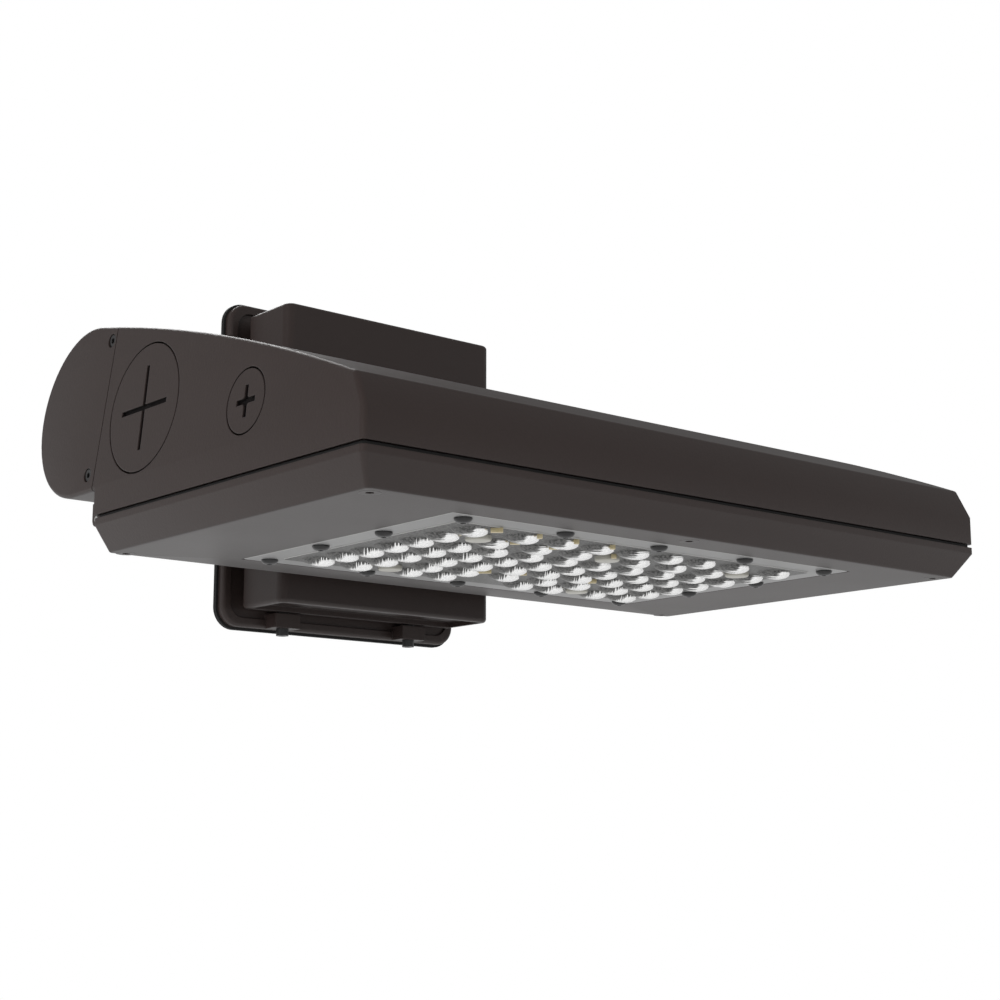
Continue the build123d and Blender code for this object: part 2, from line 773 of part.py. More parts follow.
def drafted(inset, z):
    """Outline of the door on its tapered part."""
    share = (band_z - z) / (band_z - door_bottom)
    x = side_draft * share + inset
    y0 = front_y + front_draft * share + inset
    y1 = rear_y - rear_draft * share - inset
    size = RectangleRounded(width - 2 * x, y1 - y0, inner_corner(inset))
    return Pos(0, (y0 + y1) / 2, z) * size


lens_y1 = rear_y - lens_rear
lens_y0 = lens_y1 - lens_y
lens_mid = (lens_y0 + lens_y1) / 2
lens_in = door_bottom + lens_thick
ledge_z = lens_in + gasket_thick
pad_z = ledge_z + board_thick
seat_z = pad_z + pad_thick
roof_z = seat_z + chamber_roof
channel_z = door_bottom + door_floor
seat_x = lens_x / 2 + door_floor
seat_y = (lens_y0 - door_floor, lens_y1 + door_floor)

door_body = loft([plan(0, band_z), drafted(0, door_bottom)])
door_body = door_body + extrude(plan(0, band_z), amount=door_band)
door_body = fillet(door_body.faces().sort_by(Axis.Z)[0].edges(), door_edge_r)
door = door_body
channel = loft([drafted(shell, band_z), drafted(shell, channel_z)])
channel = channel + extrude(plan(shell, band_z), amount=door_band + 1)
chamber = block((-seat_x, seat_x), seat_y, (door_bottom - 1, roof_z))
door = door - (channel - chamber)

fins = int(window_x / fin_pitch / 2)
fin_front, fin_rear = seat_y[0] + fin_in, seat_y[1] - fin_in
fin = Polygon(
    (fin_front, roof_z - 1),
    (fin_rear, roof_z - 1),
    (fin_rear, roof_z + fin_height),
    (fin_front + fin_ramp, roof_z + fin_height),
    (fin_front, roof_z + fin_height / 2),
    align=None,
)
for i in range(-fins, fins + 1):
    low_side = Plane.YZ.offset(i * fin_pitch - fin_thick / 2)
    door = door + extrude(low_side * fin, amount=fin_thick)

rib_z = (channel_z - 1, roof_z)
for x in (-rib_x, rib_x):
    for y_span in ((front_y + shell - 1, seat_y[0] + 1), (seat_y[1] - 1, rear_y - shell + 1)):
        rib = block((x - rib_thick / 2, x + rib_thick / 2), y_span, rib_z)
        door = door + (rib & door_body)
for side in (-1, 1):
    x_span = sorted((side * (seat_x - 1), side * (half - side_draft)))
    for y in (lens_mid - rib_y_from_mid, lens_mid + rib_y_from_mid):
        rib = block(x_span, (y - rib_thick / 2, y + rib_thick / 2), rib_z)
        door = door + (rib & door_body)


def screw_way(x, y):
    """Hole and countersink for a flush screw from below."""
    hole = rod(door_screw_r + hole_fit, (x, y, door_bottom - 1), (x, y, door_top + 1))
    cone = Cone(door_screw_head, door_screw_r, door_sink)
    return hole + Pos(x, y, door_bottom + door_sink / 2) * cone


for x, y in front_screws:
    door = door + rod(door_boss_r, (x, y, channel_z - 1), (x, y, door_top)) - screw_way(x, y)
for side in (-1, 1):
    x = side * strap_x
    x_span = (x - strap_half - strap_fit, x + strap_half + strap_fit)
    strap_end = rear_y - strap_reach - strap_fit
    seat = block(x_span, (strap_end, rear_y - shell + 1), (channel_z - 1, strap_seat_z))
    door = door + (seat & door_body)
    door = door - block(x_span, (strap_end, rear_y + 1), (strap_seat_z, door_top + 1))
    door = door - screw_way(x, strap_screw_y)

lens_fit = 0.3
board_fit = 1.0
door = door - block(
    (-lens_x / 2 - lens_fit, lens_x / 2 + lens_fit),
    (lens_y0 - lens_fit, lens_y1 + lens_fit),
    (door_bottom - 1, ledge_z),
)
pocket_x = (-window_x / 2 - board_fit, window_x / 2 + board_fit)
pocket_y = (lens_mid - window_y / 2 - board_fit, lens_mid + window_y / 2 + board_fit)
door = door - block(pocket_x, pocket_y, (ledge_z - 1, seat_z))

lens_screw_r = 2.5
lens_screw_length = 9.5
lens_head_r = 4.75
lens_head_h = 2.75
lens_key = 3.0
lens_screw_x = 137.0
lens_screw_end = 142.5
lens_screw_edge = 8.1
lens_side_y = 28.6
lens_screws = [
    (x, y)
    for x in (-lens_screw_x, -lens_screw_x / 2, 0.0, lens_screw_x / 2, lens_screw_x)
    for y in (lens_y0 + lens_screw_edge, lens_y1 - lens_screw_edge)
]
lens_screws += [
    (x, lens_mid + y) for x in (-lens_screw_end, lens_screw_end) for y in (-lens_side_y, lens_side_y)
]
lens_hole_end = door_bottom + lens_screw_length + 0.5
for x, y in lens_screws:
    door = door - rod(lens_screw_r + thread_fit, (x, y, ledge_z - 1), (x, y, lens_hole_end))
board_screw_r = 1.5
board_screw_length = 5.4
board_head_r = 3.0
board_head_h = 1.2
board_spots = ((-99, -53), (0, -46.2), (99, -53), (-73, 59), (73, 59))
board_screws = [(x, lens_mid + y) for x, y in board_spots]
for x, y in board_screws:
    end = ledge_z + board_screw_length + 0.5
    door = door - rod(board_screw_r + thread_fit, (x, y, seat_z - 1), (x, y, end))
save("door_frame", door)

# Door fittings

ring = extrude(plan(groove, door_top) - plan(shell, door_top), amount=door_gap - running_gap)
save("door_gasket", ring)

one = flat_screw(door_screw_r, door_screw_length, door_screw_head, door_key)
save("door_screws", *[place(one, (x, y, door_bottom), (0, 0, -1)) for x, y in front_screws])

screws = []
pins = []
for side, word in ((-1, "left"), (1, "right")):
    x = side * strap_x
    strap = block(
        (x - strap_half, x + strap_half),
        (rear_y - strap_reach, hinge_y),
        (strap_seat_z, strap_seat_z + strap_thick),
    )
    ends = (x - strap_half, x + strap_half)
    strap = strap + rod(knuckle_r, (ends[0], hinge_y, hinge_z), (ends[1], hinge_y, hinge_z))
    strap = strap - rod(
        pin_r + pin_fit, (ends[0] - 1, hinge_y, hinge_z), (ends[1] + 1, hinge_y, hinge_z)
    )
    low, high = strap_seat_z - 1, strap_seat_z + strap_thick + 1
    hole = rod(door_screw_r + thread_fit, (x, strap_screw_y, low), (x, strap_screw_y, high))
    save(f"hinge_strap_{word}", strap - hole)
    length = strap_seat_z + strap_thick - door_bottom
    one = flat_screw(door_screw_r, length, door_screw_head, door_key)
    screws.append(place(one, (x, strap_screw_y, door_bottom), (0, 0, -1)))
    reach = strap_half + ear_fit + ear_thick
    pins.append(rod(pin_r, (x - reach, hinge_y, hinge_z), (x + reach, hinge_y, hinge_z)))
save("strap_screws", *screws)
save("hinge_pins", *pins)

# Light board and lens

window = ((-window_x / 2, window_x / 2), (lens_mid - window_y / 2, lens_mid + window_y / 2))
pad = block(*window, (pad_z, seat_z))
board = block(*window, (ledge_z, pad_z))
for x, y in board_screws:
    hole = rod(board_screw_r + thread_fit, (x, y, ledge_z - 1), (x, y, seat_z + 1))
    pad = pad - hole
    board = board - hole
save("thermal_pad", pad)
save("led_board", board)
one = button_screw(board_screw_r, board_screw_length, board_head_r, board_head_h, 0)
save("board_screws", *[place(one, (x, y, ledge_z), (0, 0, -1)) for x, y in board_screws])

spots = []
for row, offsets in enumerate(row_half):
    y = lens_mid + (row - 3) * row_pitch
    for x in offsets:
        spots += [(0.0, y)] if x == 0 else [(-x, y), (x, y)]
chip = Box(led_size, led_size, led_height)
save("leds", *[Pos(x, y, ledge_z - led_height / 2) * chip for x, y in spots])

wire_y = lens_mid + window_y / 2 - wire_in
x_span = (-connector_x / 2, connector_x / 2)
y_span = (wire_y - connector_y / 2, wire_y + connector_y / 2)
save("board_connector", block(x_span, y_span, (lens_in + running_gap, ledge_z)))

ledge = block((-lens_x / 2, lens_x / 2), (lens_y0, lens_y1), (lens_in, ledge_z))
ledge = ledge - block(pocket_x, pocket_y, (lens_in - 1, ledge_z + 1))
lens = block((-lens_x / 2, lens_x / 2), (lens_y0, lens_y1), (door_bottom, lens_in))
lens = fillet(lens.edges().filter_by(Axis.Z), lens_corner)
base = Pos(0, 0, door_bottom) * RegularPolygon(dome_r, dome_sides)
crown = Pos(0, 0, door_bottom - dome_height) * RegularPolygon(dome_top, dome_sides)
dome = loft([base, crown])
lens = lens + [Pos(x, y, 0) * dome for x, y in spots]
boss_y = wire_y - 2
wire_boss = rod(wire_boss_d / 2, (0, boss_y, door_bottom - wire_boss_height), (0, boss_y, lens_in))
lens = lens + wire_boss
for x, y in lens_screws:
    hole = rod(lens_screw_r + hole_fit, (x, y, door_bottom - 8), (x, y, ledge_z + 1))
    lens = lens - hole
    ledge = ledge - hole
save("lens_gasket", ledge)
save("optic_plate", lens)
one = button_screw(lens_screw_r, lens_screw_length, lens_head_r, lens_head_h, lens_key)
save("lens_screws", *[place(one, (x, y, door_bottom), (0, 0, -1)) for x, y in lens_screws])
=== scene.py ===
# %% [markdown]
# # An LED wall pack
# The object hangs on a wall: a wide cast housing with a round back, a hinged light door
# underneath, and a wall plate behind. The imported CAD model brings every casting, screw and
# gasket in its right place. This lesson gives each of them its finish, models the moulded
# lenses and the lens screws anew, and sets up a camera and soft light.

# %% Load the frame
from math import asin, cos, pi, radians, sin
import json

import bmesh
import bpy
from mathutils import Matrix, Vector

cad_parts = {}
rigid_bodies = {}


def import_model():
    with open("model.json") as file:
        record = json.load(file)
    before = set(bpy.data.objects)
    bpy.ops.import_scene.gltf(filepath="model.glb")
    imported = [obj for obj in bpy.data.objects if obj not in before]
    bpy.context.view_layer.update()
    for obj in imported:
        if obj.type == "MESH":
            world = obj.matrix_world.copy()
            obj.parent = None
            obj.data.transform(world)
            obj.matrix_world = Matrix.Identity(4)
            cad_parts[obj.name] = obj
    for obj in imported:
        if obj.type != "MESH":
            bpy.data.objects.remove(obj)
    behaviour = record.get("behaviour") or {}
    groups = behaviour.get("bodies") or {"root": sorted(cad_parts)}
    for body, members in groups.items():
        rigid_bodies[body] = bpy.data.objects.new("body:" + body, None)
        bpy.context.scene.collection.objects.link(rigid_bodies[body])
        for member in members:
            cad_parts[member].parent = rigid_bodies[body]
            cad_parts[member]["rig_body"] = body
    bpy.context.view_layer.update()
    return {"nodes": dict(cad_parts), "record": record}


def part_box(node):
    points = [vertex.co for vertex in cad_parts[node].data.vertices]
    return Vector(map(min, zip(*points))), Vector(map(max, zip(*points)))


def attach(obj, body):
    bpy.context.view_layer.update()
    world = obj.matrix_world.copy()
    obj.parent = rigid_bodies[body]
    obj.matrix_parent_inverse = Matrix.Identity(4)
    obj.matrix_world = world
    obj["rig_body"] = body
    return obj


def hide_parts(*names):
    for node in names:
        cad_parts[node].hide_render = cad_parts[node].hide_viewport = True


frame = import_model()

nodes = frame["nodes"]
record = frame["record"]
slot_of = {part["node"]: part["material_slot"] for part in record["subparts"]}
body_of = {name: nodes[name]["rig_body"] for name in nodes}

# %% [markdown]
# ## A way to write shader maths
# A finish is worked out from numbers that change over the surface. Adding Math nodes by hand
# makes long code, so a wire here is a small class round one socket: `1 - grain * 0.2` adds the
# nodes that say just that. The steps that come back in many finishes, such as a mix of two
# colours or a soft noise, are methods of the tree that holds the nodes.

# %% Wires
class Wire:
    """One output socket, with the usual signs of arithmetic."""

    def __init__(self, tree, socket):
        self.tree = tree
        self.socket = socket

    def sum(self, kind, *values):
        """A Math node of one kind over some values."""
        return self.tree.node("ShaderNodeMath", {"operation": kind}, dict(enumerate(values)))

    def __add__(self, other):
        return self.sum("ADD", self, other)

    def __radd__(self, other):
        return self.sum("ADD", other, self)

    def __sub__(self, other):
        return self.sum("SUBTRACT", self, other)

    def __rsub__(self, other):
        return self.sum("SUBTRACT", other, self)

    def __mul__(self, other):
        return self.sum("MULTIPLY", self, other)

    def __rmul__(self, other):
        return self.sum("MULTIPLY", other, self)

    def __truediv__(self, other):
        return self.sum("DIVIDE", self, other)

    def __pow__(self, other):
        return self.sum("POWER", self, other)

    def __abs__(self):
        return self.sum("ABSOLUTE", self)

    def most(self, other):
        return self.sum("MAXIMUM", self, other)

    def whole(self):
        return self.sum("FLOOR", self)

    def over(self, low, high):
        """0 below low, 1 above high, and a soft step between them."""
        step = {"Value": self, "From Min": low, "From Max": high}
        return self.tree.node("ShaderNodeMapRange", {"interpolation_type": "SMOOTHSTEP"}, step)


print("wires ready")

# %% Trees of nodes
class Tree:
    """The nodes of one material, or of the world."""

    def __init__(self, owner, output):
        owner.use_nodes = True
        self.owner = owner
        self.nodes = owner.node_tree.nodes
        self.links = owner.node_tree.links
        self.nodes.clear()
        self.output = self.nodes.new(output)

    def node(self, kind, settings=(), values=(), out=0):
        """Adds a node: its settings first, then what goes into its sockets."""
        new = self.nodes.new(kind)
        for name, value in dict(settings).items():
            setattr(new, name, value)
        for name, value in dict(values).items():
            if isinstance(value, Wire):
                self.links.new(value.socket, new.inputs[name])
            else:
                new.inputs[name].default_value = value
        return Wire(self, new.outputs[out])

    def show(self, shader):
        """Sends a shader to the output."""
        self.links.new(shader.socket, self.output.inputs[0])

    def mix(self, share, a, b):
        """Colour a where share is 0, colour b where it is 1."""
        a, b = ((*c, 1) if isinstance(c, tuple) else c for c in (a, b))
        return self.node("ShaderNodeMix", {"data_type": "RGBA"}, {0: share, 6: a, 7: b}, out=2)

    def blend(self, share, a, b):
        """Shader a where share is 0, shader b where it is 1."""
        return self.node("ShaderNodeMixShader", {}, {0: share, 1: a, 2: b})

    def ray(self, kind):
        """1 for one kind of ray, such as Camera, Glossy or Transmission, and 0 for others."""
        return self.node("ShaderNodeLightPath", out=f"Is {kind} Ray")

    def place(self):
        """Where a point lies in the object's frame, in metres."""
        return self.node("ShaderNodeTexCoord", out="Object")

    def parts(self, vector, *axes):
        """Some coordinates of a vector, where 0, 1 and 2 are X, Y and Z."""
        return [self.node("ShaderNodeSeparateXYZ", {}, {0: vector}, out=i) for i in axes]

    def grain(self, per_metre, detail=2.0):
        """Soft noise from 0 to 1 with so many lumps in a metre."""
        values = {"Vector": self.place(), "Scale": per_metre, "Detail": detail}
        return self.node("ShaderNodeTexNoise", {}, values)

    def strip_noise(self, where, detail):
        """Soft noise from 0 to 1 that changes along one number only."""
        values = {"W": where, "Scale": 1.0, "Detail": detail}
        return self.node("ShaderNodeTexNoise", {"noise_dimensions": "1D"}, values)

    def bump(self, height, distance, normal=None):
        """A surface that rises and falls by so many metres."""
        values = {"Height": height, "Distance": distance}
        if normal:
            values["Normal"] = normal
        return self.node("ShaderNodeBump", {}, values)

    def soft_edge(self, radius):
        """Normals that turn round a sharp edge, as a cast or bent edge does."""
        return self.node("ShaderNodeBevel", {"samples": 6}, {"Radius": radius})


print("trees ready")

# %% Materials
class Finish(Tree):
    """A material of one Principled shader."""

    def __init__(self, name, colour=(0.5, 0.5, 0.5), **sockets):
        super().__init__(bpy.data.materials.new(name), "ShaderNodeOutputMaterial")
        self.shader = self.nodes.new("ShaderNodeBsdfPrincipled")
        self.show(Wire(self, self.shader.outputs[0]))
        self.set(**{"Base Color": colour}, **{k.replace("_", " "): v for k, v in sockets.items()})

    def set(self, **sockets):
        """Links a wire to a socket of the shader, or sets the socket to a value."""
        for name, value in sockets.items():
            if isinstance(value, Wire):
                self.links.new(value.socket, self.shader.inputs[name])
            else:
                value = (*value, 1) if isinstance(value, tuple) and len(value) == 3 else value
                self.shader.inputs[name].default_value = value

    @property
    def material(self):
        return self.owner


print("finishes ready")

# %% [markdown]
# ## The camera
# The photograph looks up at the fixture from below its front left corner. A camera could be
# placed by eye. This one stands where the lines of the castings in the picture meet their CAD
# lengths, so a lens of 66 mm on the usual 36 mm sensor sees them as the photograph does.

# %% Camera
eye = Vector((-0.7045, -1.0080, -0.2471))
turn = radians(40.074)
tip = radians(10.819)
ahead = Vector((sin(turn) * cos(tip), cos(turn) * cos(tip), sin(tip)))
camera_data = bpy.data.cameras.new("camera")
camera_data.lens = 66.48
camera_data.sensor_width = 36.0
camera_data.clip_end = 60.0
camera = bpy.data.objects.new("camera", camera_data)
camera.matrix_world = Matrix.LocRotScale(eye, ahead.to_track_quat("-Z", "Y"), None)
bpy.context.scene.collection.objects.link(camera)
bpy.context.scene.camera = camera
print("camera", tuple(round(x, 3) for x in eye))

# %% [markdown]
# ## The world
# The photograph has a white ground, and satin castings that mirror a studio. Big white cards
# and dark flags could be modelled, but a few soft steps over the direction of a ray do the
# same. The world is white for the camera and for light through glass. Reflections see it white
# at and under the horizon and dark overhead, darker still behind the object on its right, and a
# little less white low on the right. What lights the object is a weaker, pale sky.

# %% World
bpy.context.scene.view_settings.view_transform = "Standard"
ceiling_dark = 0.62
back_dark = 0.24  # more behind the object and right of it
side_dark = 0.20  # less white low on the right
ceiling_up = (-0.02, 0.30)  # where the ceiling begins and ends, the horizon being 0
back_right, back_far, back_up = (0.00, 0.40), (0.30, 0.70), (0.02, 0.12)
side_right, side_up = (0.30, 0.85), (-0.10, 0.02)
sky_strength = 0.5
world = bpy.data.worlds.new("studio")
bpy.context.scene.world = world
sky = Tree(world, "ShaderNodeOutputWorld")
mirrored = sky.ray("Glossy")
seen = sky.ray("Camera").most(mirrored).most(sky.ray("Transmission"))
beside, behind, climb = sky.parts(sky.node("ShaderNodeTexCoord"), 0, 1, 2)
dim = ceiling_dark * climb.over(*ceiling_up)
dim = dim + back_dark * beside.over(*back_right) * behind.over(*back_far) * climb.over(*back_up)
dim = dim + side_dark * beside.over(*side_right) * (1 - climb.over(*side_up))
ground = {"Color": (1, 1, 1, 1), "Strength": 1 - mirrored * dim}
white = sky.node("ShaderNodeBackground", {}, ground)
light = {"Color": (1, 0.99, 0.98, 1), "Strength": sky_strength}
pale = sky.node("ShaderNodeBackground", {}, light)
sky.show(sky.blend(seen, pale, white))
print("world", world.name)

# %% [markdown]
# ## The floor
# The object hangs far above any floor, so its shadow hardly shows. A floor to the horizon
# would have to be huge. This one is a card that fades to white with distance for the camera, so
# its edge is never seen. Mirrors see it glow as the world does, and from under it the card is
# clear, so that a view from far below still shows the object.

# %% Floor
floor_z = -1.0
floor_half = 4.5
fade_from, fade_to = 0.9, 3.4  # metres from the middle
less_from, less_to = 0.2, 2.2  # metres to the right
floor_mesh = bpy.data.meshes.new("floor")
sheet = bmesh.new()
bmesh.ops.create_grid(sheet, x_segments=1, y_segments=1, size=floor_half)
bmesh.ops.translate(sheet, vec=(0, 0, floor_z), verts=sheet.verts)
sheet.to_mesh(floor_mesh)
sheet.free()
floor = bpy.data.objects.new("floor", floor_mesh)
bpy.context.scene.collection.objects.link(floor)
print("floor at", floor_z, "m")

# %% Floor card
card = Finish("floor_card", (0.9, 0.9, 0.9), Roughness=0.9)
x, y = card.parts(card.place(), 0, 1)
faded = card.ray("Camera") * ((x * x + y * y) ** 0.5).over(fade_from, fade_to)
glowing = faded.most(card.ray("Glossy")).most(card.ray("Transmission"))
glow_share = 1 - side_dark * x.over(less_from, less_to) * card.ray("Glossy")
glow = card.node("ShaderNodeEmission", {}, {"Color": (1, 1, 1, 1), "Strength": glow_share})
topside = card.blend(glowing, Wire(card, card.shader.outputs[0]), glow)
below = card.node("ShaderNodeNewGeometry", out="Backfacing")
card.show(card.blend(below, topside, card.node("ShaderNodeBsdfTransparent")))
floor_mesh.materials.append(card.material)
print("floor card fades from", fade_from, "to", fade_to, "m")

# %% [markdown]
# ## Lamps
# A large lamp on the left lights the end face, a wide weak one fills the front, and a small one
# high behind draws the edge between the roof and the end. Only that last one shows in gloss,
# because the world already gives the soft reflections of the other two.

# %% Lamps
def soft_lamp(name, place, aim, size, watts, shows=False):
    """A square lamp that looks at a point. It shows in gloss only if asked."""
    data = bpy.data.lights.new(name, "AREA")
    data.size = size
    data.energy = watts
    lamp = bpy.data.objects.new(name, data)
    turned = (Vector(aim) - Vector(place)).to_track_quat("-Z", "Y")
    lamp.matrix_world = Matrix.LocRotScale(Vector(place), turned, None)
    lamp.visible_glossy = shows
    bpy.context.scene.collection.objects.link(lamp)
    return lamp


middle = (0, -0.18, 0)
soft_lamp("key", (-3.0, -0.9, 0.9), middle, size=1.8, watts=64)
soft_lamp("fill", (0.8, -3.2, 0.5), middle, size=2.4, watts=14)
soft_lamp("rim", (0.6, 2.1, 1.9), middle, size=1.2, watts=25, shows=True)
print("3 lamps")

# %% [markdown]
# ## Powder coat
# The castings are coated in dark bronze powder. Baked powder is a satin skin with a very fine
# orange peel, a faint speckle of pigment and edges that the melt has rounded. A painted texture
# would need UVs on every casting. Noise on Object coordinates needs none, runs on unbroken over
# a whole casting and has the same size everywhere. The plugs in the ends have deep slots that
# lie nearly black in shade, so painted shade darkens their coat with depth under the end face.

# %% Bronze powder coat
bronze_dark = (0.024, 0.0165, 0.0150)
bronze_pale = (0.031, 0.0215, 0.0195)
# painted shade: near black in the deep slots of the end plugs, fading in between these depths
# below the end face
slot_painted_shade = (0.004, 0.003, 0.003)
slot_shade_from, slot_shade_to = 0.0003, 0.0014
end_lean = radians(5.1)
plug_corners = nodes["large_plug_left"].data.vertices
end_reach = max(abs(v.co.x) * cos(end_lean) + v.co.z * sin(end_lean) for v in plug_corners)


def powder_coat(name, dark, pale, rough, shade_slots=False):
    """Satin powder over a casting: tone, speckle and orange peel, and painted shade in deep
    slots.
    """
    coat = Finish(name, Specular_IOR_Level=0.31)
    tone = coat.grain(9.0, 3.0)
    speckle = coat.grain(2600.0, 1.0)
    peel = coat.grain(620.0, 2.0)
    colour = coat.mix(0.7 * tone + 0.45 * speckle - 0.1, dark, pale)
    roughness = rough + 0.10 * (speckle - 0.5) + 0.08 * (tone - 0.5)
    if shade_slots:
        # painted shade: darker with depth below the leaning end face, nearly black in the slots
        x, z = coat.parts(coat.place(), 0, 2)
        depth = end_reach - (abs(x) * cos(end_lean) + z * sin(end_lean))
        sunk = depth.over(slot_shade_from, slot_shade_to)
        colour = coat.mix(sunk, colour, slot_painted_shade)
        roughness = roughness + 0.55 * sunk
    coat.set(**{
        "Base Color": colour,
        "Roughness": roughness,
        "Normal": coat.bump(peel + 0.25 * speckle, 0.00006, coat.soft_edge(0.0008)),
    })
    return coat.material


finish = {"bronze_paint": powder_coat("bronze_powder_coat", bronze_dark, bronze_pale, 0.42)}
print("powder coat", bronze_dark, "end face at", round(end_reach, 4), "m")

# %% [markdown]
# ## Rubber, screws, plated steel and plastics
# The rest of the finishes are simpler, but none is one flat colour. Rubber is dull with dusty
# patches. Screws are black oxide, brighter where tools rub. Zinc plate has soft clouds and a
# brushed sheen. The plastics inside carry a fine moulded texture. Three functions make them all,
# because only colours, gloss and the size of the grain differ.

# %% Rubber, metal and moulded plastic
def rubber(name, colour):
    """Dull rubber with paler, dusty patches."""
    made = Finish(name, Specular_IOR_Level=0.25)
    dust = made.grain(60.0, 4.0)
    made.set(**{
        "Base Color": made.mix(dust, colour, tuple(1.8 * c for c in colour)),
        "Roughness": 0.62 + 0.25 * dust,
        "Normal": made.bump(made.grain(900.0), 0.00005),
    })
    return made.material


def metal(name, dark, pale, rough, metallic, grain=220.0):
    """Screws and plated sheet: clouds of two tones and a fine tooling grain."""
    made = Finish(name, Metallic=metallic)
    cloud = made.grain(grain, 4.0)
    fine = made.grain(3000.0, 2.0)
    made.set(**{
        "Base Color": made.mix(cloud, dark, pale),
        "Roughness": rough + 0.16 * (cloud - 0.5) + 0.10 * (fine - 0.5),
        "Normal": made.bump(fine, 0.00002, made.soft_edge(0.0003)),
    })
    return made.material


def moulded(name, colour, rough):
    """Moulded plastic or a potted part: fine texture and a slow change of tone."""
    made = Finish(name)
    tone = made.grain(35.0, 3.0)
    texture = made.grain(1400.0, 2.0)
    made.set(**{
        "Base Color": made.mix(tone, tuple(0.82 * c for c in colour), colour),
        "Roughness": rough + 0.15 * (texture - 0.5),
        "Normal": made.bump(texture, 0.00005, made.soft_edge(0.0004)),
    })
    return made.material


print("rubber, metal and plastic can be made")

# %% Finishes of the small parts
oxide_dark, oxide_pale = (0.012, 0.012, 0.013), (0.035, 0.034, 0.034)
zinc_dark, zinc_pale = (0.42, 0.43, 0.44), (0.62, 0.62, 0.60)
finish["black_rubber"] = rubber("black_rubber", (0.010, 0.010, 0.010))
finish["black_screw"] = metal("black_screw", oxide_dark, oxide_pale, 0.34, 0.35)
finish["bronze_screw"] = powder_coat("bronze_screw", bronze_dark, bronze_pale, 0.40)
finish["plated_steel"] = metal("zinc_plate", zinc_dark, zinc_pale, 0.34, 1.0, grain=90.0)
finish["driver_case"] = moulded("driver_case", (0.30, 0.31, 0.32), 0.40)
finish["surge_case"] = moulded("surge_case", (0.035, 0.035, 0.038), 0.45)
finish["terminal_plastic"] = moulded("terminal_plastic", (0.62, 0.60, 0.54), 0.42)
finish["thermal_pad"] = moulded("thermal_pad", (0.42, 0.47, 0.52), 0.80)
finish["connector_plastic"] = moulded("connector_plastic", (0.78, 0.75, 0.66), 0.40)
finish["green_screw"] = moulded("green_screw", (0.02, 0.20, 0.05), 0.35)
print(len(finish), "finishes")

# %% [markdown]
# ## The light board
# The board is white solder mask over copper, with warm phosphor on each chip. Faint copper
# lines show through the mask. They could be drawn one by one, but little of the board is ever
# seen, and a brick pattern with wide joints gives tracks of the right scale.

# %% Board and phosphor
mask = Finish("solder_mask", Roughness=0.35)
tracks = mask.node(
    "ShaderNodeTexBrick",
    {"offset": 0.5},
    {
        "Vector": mask.place(),
        "Color1": (1, 1, 1, 1),
        "Color2": (0.9, 0.9, 0.9, 1),
        "Mortar": (0, 0, 0, 1),
        "Scale": 90.0,
        "Mortar Size": 0.03,
    },
)
mask.set(**{
    "Base Color": mask.mix(tracks, (0.55, 0.56, 0.52), (0.70, 0.70, 0.67)),
    "Normal": mask.bump(tracks, 0.00004),
})
finish["board"] = mask.material

phosphor = Finish("phosphor", Roughness=0.5)
blotch = phosphor.grain(700.0, 3.0)
phosphor.set(**{
    "Base Color": phosphor.mix(blotch, (0.80, 0.56, 0.12), (0.90, 0.72, 0.26)),
    "Normal": phosphor.bump(blotch, 0.00005),
})
finish["led_phosphor"] = phosphor.material
print("board and phosphor")

# %% [markdown]
# ## Smooth castings
# A CAD node arrives as loose triangles, so each would show its own facet. Welding them joins
# the corners. Smooth shading with a split at every edge over 30 degrees then gives round parts
# a round look and keeps flat faces flat. Remodelling the castings could do it too, but this way
# the shape itself isn't touched. The seam gasket and the rings round the plugs show as thin
# lines a little paler than the castings, so they get a rubber of that colour: a bronze tone,
# made paler than the coat as painted light against the shade in their deep, narrow gaps.

# %% Finishes on the CAD nodes
facet_split = radians(30)
weld_reach = 0.00001


def dress(obj, material):
    """One finish on a node, welded and shaded smooth."""
    obj.data.materials.clear()
    obj.data.materials.append(material)
    obj.data.shade_smooth()
    weld = obj.modifiers.new("weld", "WELD")
    weld.merge_threshold = weld_reach
    split = obj.modifiers.new("split", "EDGE_SPLIT")
    split.split_angle = facet_split
    split.use_edge_sharp = False


for name, node in nodes.items():
    if slot_of[name] in finish:
        dress(node, finish[slot_of[name]])
# bronze-toned rubber, paler than the coat: painted light that offsets the shade in the narrow
# gaps
coated_rubber = rubber("coated_rubber", (0.075, 0.060, 0.056))
for name in ("seam_gasket", "large_plug_seals", "small_plug_seals"):
    nodes[name].data.materials[0] = coated_rubber
# the end plugs get the coat with painted shade in their slots
plug_shaded_coat = powder_coat("plug_powder_coat", bronze_dark, bronze_pale, 0.42, shade_slots=True)
for name in nodes:
    if "_plug_" in name and slot_of[name] == "bronze_paint":
        nodes[name].data.materials[0] = plug_shaded_coat
print("dressed", sum(slot_of[n] in finish for n in nodes), "of", len(nodes))

# %% [markdown]
# ## The moulded lenses
# One clear sheet carries a lens over each of the 64 chips. Each lens is a low dome that leans
# to the right. Its steep right side throws the light forward by reflecting it inside the
# plastic, so it looks like a mirror, and the rest shows the dark space behind. The rows aren't
# evenly spaced, so the chips in the frame say where the lenses go.

# %% Where the lenses go
sheet_thick = 0.003
low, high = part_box("optic_plate")
flange_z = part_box("lens_gasket")[0].z - sheet_thick
dome_deep = flange_z - low.z
sheet_mid = Vector(((low.x + high.x) / 2, (low.y + high.y) / 2, 0))


